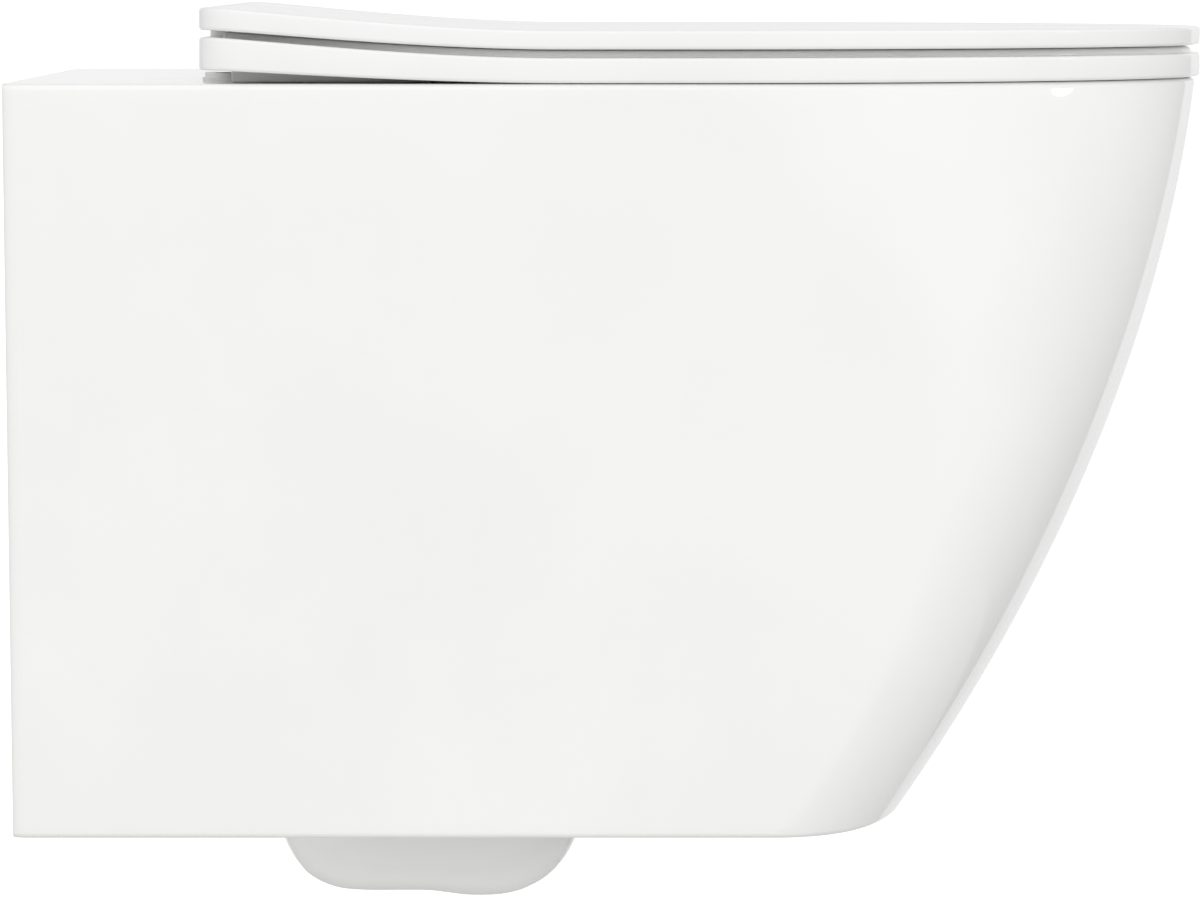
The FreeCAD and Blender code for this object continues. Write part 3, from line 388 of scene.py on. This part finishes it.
def ceramic_pan(glaze, bisque):
    """One fired piece: the skirt with its rounded rim, the bowl, the trap, the bosses, the inlet
    and the outlet, with every hollow cut from it. Bars give their radius, then their length."""
    sides = (-1, 1)
    joined = [
        bowl_form(),
        trap_bend("trap_outside", 0, TRAP_HALF),
        *trap_run("trap_outside", LEG_RADIUS, OUTLET_RADIUS, -OUTLET_SETBACK, edge=3, finish=THIN),
        from_wall("outlet_shoulder", 0, OUTLET_Z, 54, 42, start=-50, edge=2, finish=THIN),
        from_wall("inlet_horn", 0, INLET_Z, 42, 72, edge=2, finish=THIN),
        from_wall("channel_tube", 0, INLET_Z, 31, 151, finish=THIN),
        *[from_wall(f"fixing_boss_{s}", s * FIXING_X, 0, 26.2, 70, edge=2, finish=THIN)
          for s in sides],
        rounded_box("rear_web", (-168, -14, -32), (168, AT_WALL, 76), edge=2, finish=THIN)]
    removed = [
        bowl_room(),
        trap_bend("trap_inside", TRAP_WALL, TRAP_BORE_HALF),
        *trap_run("trap_inside", LEG_BORE, OUTLET_BORE, OUTSIDE),
        from_wall("inlet_mouth", 0, INLET_Z, 34, 13, start=OUTSIDE),
        from_wall("inlet_socket", 0, INLET_Z, 27.5, 63, start=OUTSIDE),
        from_wall("flush_channel", 0, INLET_Z, 20, 155, start=OUTSIDE),
        from_wall("spreader_seat", 0, INLET_Z, 27.3, 13.5, start=-151)]
    for s in sides:
        removed += [
            from_wall(f"anchor_hole_{s}", s * FIXING_X, 0, 16.2, 63, start=OUTSIDE, finish=THIN),
            round_bar(f"clamp_hole_{s}", 4.5, 28, (s * FIXING_X, -35, -28), (0, 0, 1), 0, THIN),
            round_bar(f"deck_hole_{s}", 8, 18, (s * POST_X, -POST_BACK, 69), (0, 0, 1))]
    pan = combined(skirt_block(), removed=[skirt_room()])
    pan = combined(pan, joined, removed)
    pan.name = pan.data.name = "glazed_pan"
    finished(pan, "pan", ["ceramic_pan"], [glaze, bisque])


# ---------------------------------------------------------------- seat and lid


def seat_outline(inset=0.0):
    """The D that seat and lid share, moved in by insets."""
    inset = np.atleast_1d(np.asarray(inset, float))
    whole = d_outline(HALF, -SEAT_BACK, SEAT_CORNER, NOSE_TOP, SEAT_TIP, SEAT_SIDE_PULL,
                      SEAT_TIP_PULL)
    return moved_in(np.repeat(whole, len(inset), 0), inset)


def bend_share(y):
    """How far seat and lid have risen at y, from 0 at the bend's start to 1 at its end: a cubic
    Bezier with two level handles, read off at y."""
    t = np.linspace(0, 1, 400)
    along = (BEND_START * (1 - t) ** 3 + (BEND_START + BEND_PULL_FRONT) * 3 * t * (1 - t) ** 2
             + (BEND_END - BEND_PULL_REAR) * 3 * t * t * (1 - t) + BEND_END * t ** 3)
    return np.interp(y, along, 3 * t * t * (1 - t) + t ** 3)


def bent(outlines, height, rise):
    """Outlines as rings at a height that rises with the bend."""
    height, rise = np.reshape(height, (-1, 1)), np.reshape(rise, (-1, 1))
    return rings(outlines, height + rise * bend_share(outlines[..., 1]))


def towards(outline, inner, shares):
    """Outlines part of the way from one outline to another."""
    return outline + (inner - outline) * np.reshape(shares, (-1, 1, 1))


def lug(side):
    """A lid lug: an eye round the hinge axis that runs up into the lid, as a side profile carried
    across from its near to its far side. Its edges are eased by moving the profile towards the axis
    along two chords of a quarter circle."""
    ease = np.array([0.8, 0.24, 0.0])
    turn = np.linspace(np.pi, 2 * np.pi + 0.6, 28)
    middle = np.array([-AXIS_BACK, AXIS_HEIGHT])
    eye = middle + LUG_ROUND * np.stack([np.cos(turn), np.sin(turn)], -1)
    outline = np.concatenate([[[LUG_FRONT, LUG_TOP]], eye,
                              [[LUG_REAR, LUG_NECK], [LUG_REAR, LUG_TOP]]])
    shrink = 1 - np.r_[ease, ease[::-1]] / LUG_ROUND
    profile = middle + (outline - middle) * shrink[:, None, None]
    across = side * np.r_[LUG_NEAR + ease[::-1], LUG_FAR - ease]
    return shell(f"lug_{side}", carried(profile, across))


def lid(plastic):
    """A slab of the seat's outline: rings move out along the lower face, up round the edge along
    two quarter circles, and in again along the upper face. Both faces rise over the hinges."""
    falling, growing = quarter(6)
    out, up = SEAT_EDGE * falling, SEAT_EDGE * growing
    shares = np.r_[0.985, np.linspace(0.95, 0, 40) ** 1.15]
    face = towards(seat_outline(SEAT_EDGE + EDGE_STEP), MIDDLE, shares)
    around = seat_outline(np.r_[out, out[::-1]])
    heights = np.r_[LID_LOW + up, LID_TOP - up[::-1]]
    rises = np.interp(heights, [LID_LOW, LID_TOP], [LID_RISE, LID_TOP_RISE])
    loops = np.concatenate([bent(face, LID_LOW, LID_RISE), bent(around, heights, rises),
                            bent(face[::-1], LID_TOP, LID_TOP_RISE)])
    panel = combined(shell("lid_panel", loops), [lug(1), lug(-1)])
    finished(panel, "lid", ["lid"], [plastic])


def seat(plastic):
    """The ring: from the opening outward along its underside, up the rounded outer edge, over a
    ledge and a quarter circle on to the crown, and back into the opening. The opening's egg is
    read at the same directions from the middle as the outer edge, so that the rings line up. Two
    notches make room for the hinge blocks, and two ribs run under the raised rear."""
    falling, growing = quarter(6)
    spoke = np.unwrap(np.arctan2(*(seat_outline()[0] - MIDDLE).T))
    hole = egg(HOLE_HALF, HOLE_FRONT, HOLE_REAR, count=400)[0] - MIDDLE
    angle = np.unwrap(np.arctan2(*hole.T))
    turns = np.r_[angle - 2 * np.pi, angle, angle + 2 * np.pi]
    reach = np.interp(spoke, turns, np.tile(np.linalg.norm(hole, axis=1), 3))

    def opening(grow):
        away = reach[None] + np.reshape(grow, (-1, 1))
        return MIDDLE + away[..., None] * np.stack([np.sin(spoke), np.cos(spoke)], -1)

    crown = d_outline(HALF - 2 * CROWN_INSET, -CROWN_BACK, CROWN_CORNER, NOSE_TOP,
                      SEAT_TIP - CROWN_INSET, SEAT_SIDE_PULL, SEAT_TIP_PULL)
    crown[..., 0] *= 1 - CROWN_NARROWING * bend_share(crown[..., 1])
    crowns = moved_in(np.repeat(crown, len(growing) + 1, 0),
                      np.r_[CROWN_ROUND * growing, CROWN_ROUND + EDGE_STEP])
    crown_heights = np.r_[CROWN_TOP - CROWN_ROUND * falling, CROWN_TOP]
    underside = towards(opening(HOLE_FOOT + EDGE_STEP), seat_outline(SEAT_EDGE + EDGE_STEP),
                        np.linspace(0, 1, 14))
    ledge = towards(seat_outline(SEAT_EDGE + 0.5), crown, [0.0, 0.9])
    top = towards(crowns[-1:], opening(HOLE_LIP + RIM_STEP), np.linspace(0.06, 1, 16))
    loops = [
        bent(underside, SEAT_LOW, SEAT_LOW_RISE),
        bent(seat_outline(SEAT_EDGE * falling), SEAT_LOW + SEAT_EDGE * growing, SEAT_LOW_RISE),
        bent(seat_outline(SEAT_EDGE * falling[::-1]), SEAT_TOP - SEAT_EDGE * growing[::-1],
             SEAT_TOP_RISE),
        bent(ledge, SEAT_TOP, SEAT_TOP_RISE),
        bent(crown, SEAT_TOP + 0.15, LEDGE_RISE),
        bent(crowns, crown_heights, CROWN_RISE),
        bent(top, CROWN_TOP, CROWN_RISE),
        bent(opening(HOLE_LIP * falling[::-1]), CROWN_TOP - HOLE_LIP * growing[::-1], CROWN_RISE),
        bent(opening(HOLE_FOOT * falling), SEAT_LOW + HOLE_FOOT * growing, SEAT_LOW_RISE)[::-1],
    ]
    ring = shell("seat_body", np.concatenate(loops), capped=False)
    notches = [side_box(f"notch_{s}", s, NOTCH_X, NOTCH_Y, NOTCH_Z, edge=3) for s in (-1, 1)]
    ribs = [side_box(f"rib_{s}", s, RIB_X, RIB_Y, RIB_Z, edge=1) for s in (-1, 1)]
    ring = combined(ring, ribs, notches)
    finished(ring, "seat", ["seat_ring"], [plastic])


# ---------------------------------------------------------------- finishes


class Wire:
    """An output socket in a material. Arithmetic on it adds Math nodes; `add` adds any other node,
    first its settings, then the values or links of its sockets."""

    def __init__(self, tree, socket=None):
        self.tree, self.socket = tree, socket

    def add(self, kind, settings=(), sockets=(), out=0):
        node = self.tree.nodes.new(kind)
        for name, value in dict(settings).items():
            setattr(node, name, value)
        for name, value in dict(sockets).items():
            if isinstance(value, Wire):
                self.tree.links.new(value.socket, node.inputs[name])
            else:
                node.inputs[name].default_value = value
        return Wire(self.tree, node.outputs[out])

    def maths(self, operation, first, second=0.0):
        return self.add("ShaderNodeMath", {"operation": operation}, {0: first, 1: second})

    def __add__(self, other):
        return self.maths("ADD", self, other)

    def __sub__(self, other):
        return self.maths("SUBTRACT", self, other)

    def __rsub__(self, other):
        return self.maths("SUBTRACT", other, self)

    def __mul__(self, other):
        return self.maths("MULTIPLY", self, other)

    def __gt__(self, other):
        return self.maths("GREATER_THAN", self, other)

    __radd__, __rmul__ = __add__, __mul__

    def between(self, low, high, start=0.0, end=1.0):
        """A smooth step from start to end as the value goes from low to high."""
        return self.add("ShaderNodeMapRange", {"interpolation_type": "SMOOTHSTEP"},
                        {0: self, 1: low, 2: high, 3: start, 4: end})


def surface(name):
    """A new material, its shader, and the point on the piece (Object coordinates) as a Wire."""
    material = bpy.data.materials.new(name)
    material.use_nodes = True
    tree = material.node_tree
    point = Wire(tree).add("ShaderNodeTexCoord", out=3)
    return material, tree.nodes["Principled BSDF"], point


def noise(point, scale, detail=2.0, stretch=None):
    """Cloudy noise, about `scale` clouds to the metre, drawn out along an axis by a small
    stretch."""
    if stretch:
        point = point.add("ShaderNodeMapping", {}, {"Vector": point, "Scale": stretch})
    return point.add("ShaderNodeTexNoise", {}, {"Vector": point, "Scale": scale, "Detail": detail})


def grains(point, scale):
    """Distance to the nearest of many scattered points, about `scale` to the metre."""
    return point.add("ShaderNodeTexVoronoi", {}, {"Vector": point, "Scale": scale})


def tint(mask, dark, light):
    """A colour between two, by the mask."""
    return mask.add("ShaderNodeMix", {"data_type": "RGBA"},
                    {0: mask, 6: (*dark, 1), 7: (*light, 1)}, out=2)


def relief(height, depth, strength=1.0):
    """A Bump node: the height, from 0 to 1, stands for a depth in metres."""
    return height.add("ShaderNodeBump", {}, {"Height": height, "Distance": depth,
                                             "Strength": strength})


def wear(shader, wires, **constants):
    """Links what varies over the surface and sets what doesn't."""
    for name, value in constants.items():
        shader.inputs[name.replace("_", " ")].default_value = value
    for name, wire in wires.items():
        wire.tree.links.new(wire.socket, shader.inputs[name])


def glaze():
    """White vitreous china under clear glaze: soft clouds of tone, a faint slow waviness and a few
    pinholes. Ground bare where it meets the wall."""
    material, shader, point = surface("white_glaze")
    cloud, wave = noise(point, 9.0, 3.0), noise(point, 55.0, 1.0)
    height = point.add("ShaderNodeSeparateXYZ", {}, {0: point}, out=1)
    ground = height > -0.0004
    speck = grains(point, 260.0).between(0.02, 0.06, 1.0, 0.0) * (noise(point, 40.0) > 0.66)
    colour = tint(cloud.between(0.3, 0.7), (0.885, 0.884, 0.876), (0.905, 0.905, 0.900))
    bare = ground.add("ShaderNodeMix", {"data_type": "RGBA"},
                      {0: ground, 6: colour, 7: (0.80, 0.785, 0.75, 1)}, out=2)
    wear(shader, {
        "Base Color": bare,
        "Roughness": 0.035 + 0.03 * cloud + 0.55 * ground,
        "Normal": relief(wave - 0.25 * speck + 0.4 * ground * noise(point, 1800.0), 0.00003, 0.35),
    }, IOR=1.5)
    return material


def bisque():
    """The unseen side of the pan: a thin, duller coat of glaze with mould dust under it."""
    material, shader, point = surface("thin_glaze")
    cloud = noise(point, 22.0, 4.0)
    grit = noise(point, 900.0, 2.0)
    wear(shader, {
        "Base Color": tint(cloud.between(0.3, 0.75), (0.80, 0.79, 0.765), (0.875, 0.868, 0.85)),
        "Roughness": 0.22 + 0.25 * cloud,
        "Normal": relief(0.6 * cloud + 0.4 * grit, 0.00025, 0.4),
    })
    return material


def gloss_plastic():
    """Pressed white thermoset: bright and even, with a fine, shallow skin from the mould."""
    material, shader, point = surface("white_thermoset")
    cloud, skin = noise(point, 14.0, 2.0), noise(point, 420.0, 2.0)
    wear(shader, {
        "Base Color": tint(cloud.between(0.3, 0.7), (0.872, 0.872, 0.867), (0.888, 0.888, 0.883)),
        "Roughness": 0.055 + 0.03 * cloud,
        "Normal": relief(skin, 0.000004, 0.25),
    }, Specular_IOR_Level=0.5)
    return material


def matt_plastic():
    """Moulded light grey plastic with a fine spark-eroded grain."""
    material, shader, point = surface("grey_plastic_matt")
    cloud, grain = noise(point, 60.0, 2.0), noise(point, 2600.0, 2.0)
    wear(shader, {
        "Base Color": tint(cloud.between(0.3, 0.7), (0.66, 0.67, 0.68), (0.74, 0.75, 0.76)),
        "Roughness": 0.42 + 0.16 * grain,
        "Normal": relief(grain, 0.00004, 0.5),
    })
    return material


def soft_pads():
    """Clear-grey soft pads, slightly cloudy."""
    material, shader, point = surface("soft_pad")
    cloud = noise(point, 300.0, 2.0)
    wear(shader, {
        "Base Color": tint(cloud, (0.78, 0.78, 0.76), (0.86, 0.86, 0.84)),
        "Roughness": 0.38 + 0.2 * cloud,
        "Normal": relief(cloud, 0.00003, 0.4),
    })
    return material


def black_rubber():
    """Black rubber with bloom and a coarse grain."""
    material, shader, point = surface("black_rubber")
    bloom, grain = noise(point, 90.0, 4.0), noise(point, 1500.0, 2.0)
    wear(shader, {
        "Base Color": tint(bloom.between(0.35, 0.8), (0.022, 0.022, 0.023), (0.075, 0.075, 0.078)),
        "Roughness": 0.55 + 0.2 * bloom,
        "Normal": relief(grain, 0.00006, 0.6),
    })
    return material


def chrome():
    """Polished plating on cast zinc: bright, with faint polishing lines and a few dull spots."""
    material, shader, point = surface("bright_chrome")
    lines, spots = noise(point, 500.0, 3.0, (1, 0.08, 1)), noise(point, 70.0, 3.0)
    wear(shader, {
        "Base Color": tint(spots.between(0.3, 0.7), (0.74, 0.75, 0.77), (0.82, 0.83, 0.84)),
        "Roughness": 0.06 + 0.10 * lines * spots,
        "Normal": relief(lines, 0.000008, 0.5),
    }, Metallic=1.0)
    return material


def turned_steel():
    """Stainless steel with fine turning lines round the upright axis."""
    material, shader, point = surface("stainless_steel")
    lines, cloud = noise(point, 900.0, 2.0, (0.05, 0.05, 1)), noise(point, 120.0, 3.0)
    wear(shader, {
        "Base Color": tint(cloud.between(0.25, 0.75), (0.53, 0.53, 0.52), (0.64, 0.64, 0.63)),
        "Roughness": 0.24 + 0.18 * lines,
        "Normal": relief(lines, 0.00002, 0.7),
    }, Metallic=1.0)
    return material


def cast_zinc():
    """Die-cast zinc: dull, with a pebbly skin and darker patches."""
    material, shader, point = surface("cast_zinc")
    pebble, patch = grains(point, 650.0), noise(point, 90.0, 4.0)
    wear(shader, {
        "Base Color": tint(patch.between(0.3, 0.75), (0.42, 0.43, 0.45), (0.62, 0.63, 0.65)),
        "Roughness": 0.42 + 0.2 * patch,
        "Normal": relief(pebble, 0.00012, 0.6),
    }, Metallic=0.9)
    return material


def turned_brass():
    """Turned brass, a little tarnished between the tool lines."""
    material, shader, point = surface("turned_brass")
    lines, tarnish = noise(point, 1100.0, 2.0, (0.05, 0.05, 1)), noise(point, 110.0, 4.0)
    wear(shader, {
        "Base Color": tint(tarnish.between(0.3, 0.8), (0.76, 0.58, 0.27), (0.52, 0.37, 0.16)),
        "Roughness": 0.25 + 0.25 * tarnish,
        "Normal": relief(lines, 0.00003, 0.7),
    }, Metallic=1.0)
    return material


def pale_silicone():
    """Milky silicone rubber of the gaskets under the hinges, dusty and a little uneven."""
    material, shader, point = surface("milky_silicone")
    cloud, grain = noise(point, 150.0, 3.0), noise(point, 1300.0, 2.0)
    wear(shader, {
        "Base Color": tint(cloud.between(0.3, 0.75), (0.70, 0.70, 0.68), (0.80, 0.80, 0.78)),
        "Roughness": 0.45 + 0.2 * cloud,
        "Normal": relief(grain, 0.00004, 0.5),
    })
    return material


def coated_steel():
    """The hinge bases' white powder coat: satin, with the fine orange peel of baked paint."""
    material, shader, point = surface("white_powder_coat")
    cloud, peel = noise(point, 80.0, 3.0), grains(point, 900.0)
    wear(shader, {
        "Base Color": tint(cloud.between(0.3, 0.75), (0.76, 0.76, 0.75), (0.83, 0.83, 0.82)),
        "Roughness": 0.30 + 0.12 * cloud,
        "Normal": relief(peel, 0.00003, 0.5),
    })
    return material


def dress_hardware():
    """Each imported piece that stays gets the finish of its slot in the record. The gaskets and bases
    under the hinges are pale, as nothing dark shows there in the photograph."""
    finishes = {"grey_plastic": matt_plastic(), "buffer": soft_pads(), "rubber": black_rubber(),
                "chrome": chrome(), "steel": turned_steel(), "zinc": cast_zinc(),
                "brass": turned_brass()}
    pale = {"hinge_gasket": pale_silicone(), "hinge_base": coated_steel()}
    for part in frame["record"]["subparts"]:
        stem = part["node"].rsplit("_", 1)[0]
        finish = pale.get(stem, finishes.get(part["material_slot"]))
        if finish is not None:
            mesh = frame["nodes"][part["node"]].data
            mesh.materials.clear()
            mesh.materials.append(finish)


# ---------------------------------------------------------------- studio


def studio():
    """Soft light that depends only on its direction: a broad bright wall on the camera's side, a
    white sheet behind the object with a brighter foot, a faint light from the front whose lower
    half is shaded, and one small lamp above the horizon at the front left."""
    world = bpy.data.worlds.new("studio")
    bpy.context.scene.world = world
    world.use_nodes = True
    tree = world.node_tree
    way = Wire(tree).add("ShaderNodeTexCoord", out=0)
    across, along, up = (way.add("ShaderNodeSeparateXYZ", {}, {0: way}, out=k) for k in range(3))
    bright_wall = (0.0 - across).between(-0.8, 0.85, 0.42, 1.14) + up.between(-0.1, 0.9, 0.0, 0.08)
    sheet_foot = across.between(0.974, 0.976) * up.between(-0.001, 0.001, 0.30, 0.0)
    sheet = across.between(0.835, 0.845, 0.0, 0.47) + sheet_foot
    front = (0.0 - along).between(0.2, 0.7)
    low = up.between(-0.45, -0.12, 1.0, 0.0)
    lamp_way = np.array([-0.19, -0.95, 0.25])
    lamp_way /= np.linalg.norm(lamp_way)
    facing = way.add("ShaderNodeVectorMath", {"operation": "DOT_PRODUCT"},
                     {0: way, 1: tuple(lamp_way)}, out=1)
    lamp = facing.between(0.9980, 0.9992, 0.0, 9.0)
    light = (bright_wall + sheet + 0.12 * front) * (1.0 - 0.5 * front * low) + lamp
    tree.links.new(light.socket, tree.nodes["Background"].inputs["Color"])


def floor():
    """A plain pale studio floor, well below the hanging object: a disc with a soft speckle."""
    radius, under, top = 2600.0, -1210.0, -1200.0
    turn = np.linspace(0, 2 * np.pi, 128, endpoint=False)
    circle = radius * np.stack([np.sin(turn), np.cos(turn)], -1)[None]
    disc = shell("studio_floor", rings(np.repeat(circle, 2, 0), np.array([under, top])))
    material, shader, point = surface("floor_paint")
    cloud, grain = noise(point, 1.5, 3.0), noise(point, 60.0, 3.0)
    wear(shader, {
        "Base Color": tint(cloud.between(0.3, 0.7), (0.62, 0.62, 0.615), (0.68, 0.68, 0.675)),
        "Roughness": 0.55 + 0.15 * grain,
        "Normal": relief(grain, 0.0004, 0.4),
    })
    disc.data.materials.append(material)


def camera():
    """The photograph's view: square on to the left side, from just above the lid, tilted down."""
    tilt = 4.82
    data = bpy.data.cameras.new("camera")
    data.lens, data.sensor_width, data.sensor_fit = 173.3, 36, "HORIZONTAL"
    data.clip_start, data.clip_end = 0.05, 400
    spot = bpy.data.objects.new("camera", data)
    spot.location = (-2.6125, -0.252, 0.1364)
    spot.rotation_euler = (math.radians(90 - tilt), 0, math.radians(-90))
    bpy.context.scene.collection.objects.link(spot)
    bpy.context.scene.camera = spot


# ---------------------------------------------------------------- the whole scene

plastic = gloss_plastic()
ceramic_pan(glaze(), bisque())
seat(plastic)
lid(plastic)
dress_hardware()
studio()
floor()
camera()
bpy.context.scene.view_settings.view_transform = "Standard"
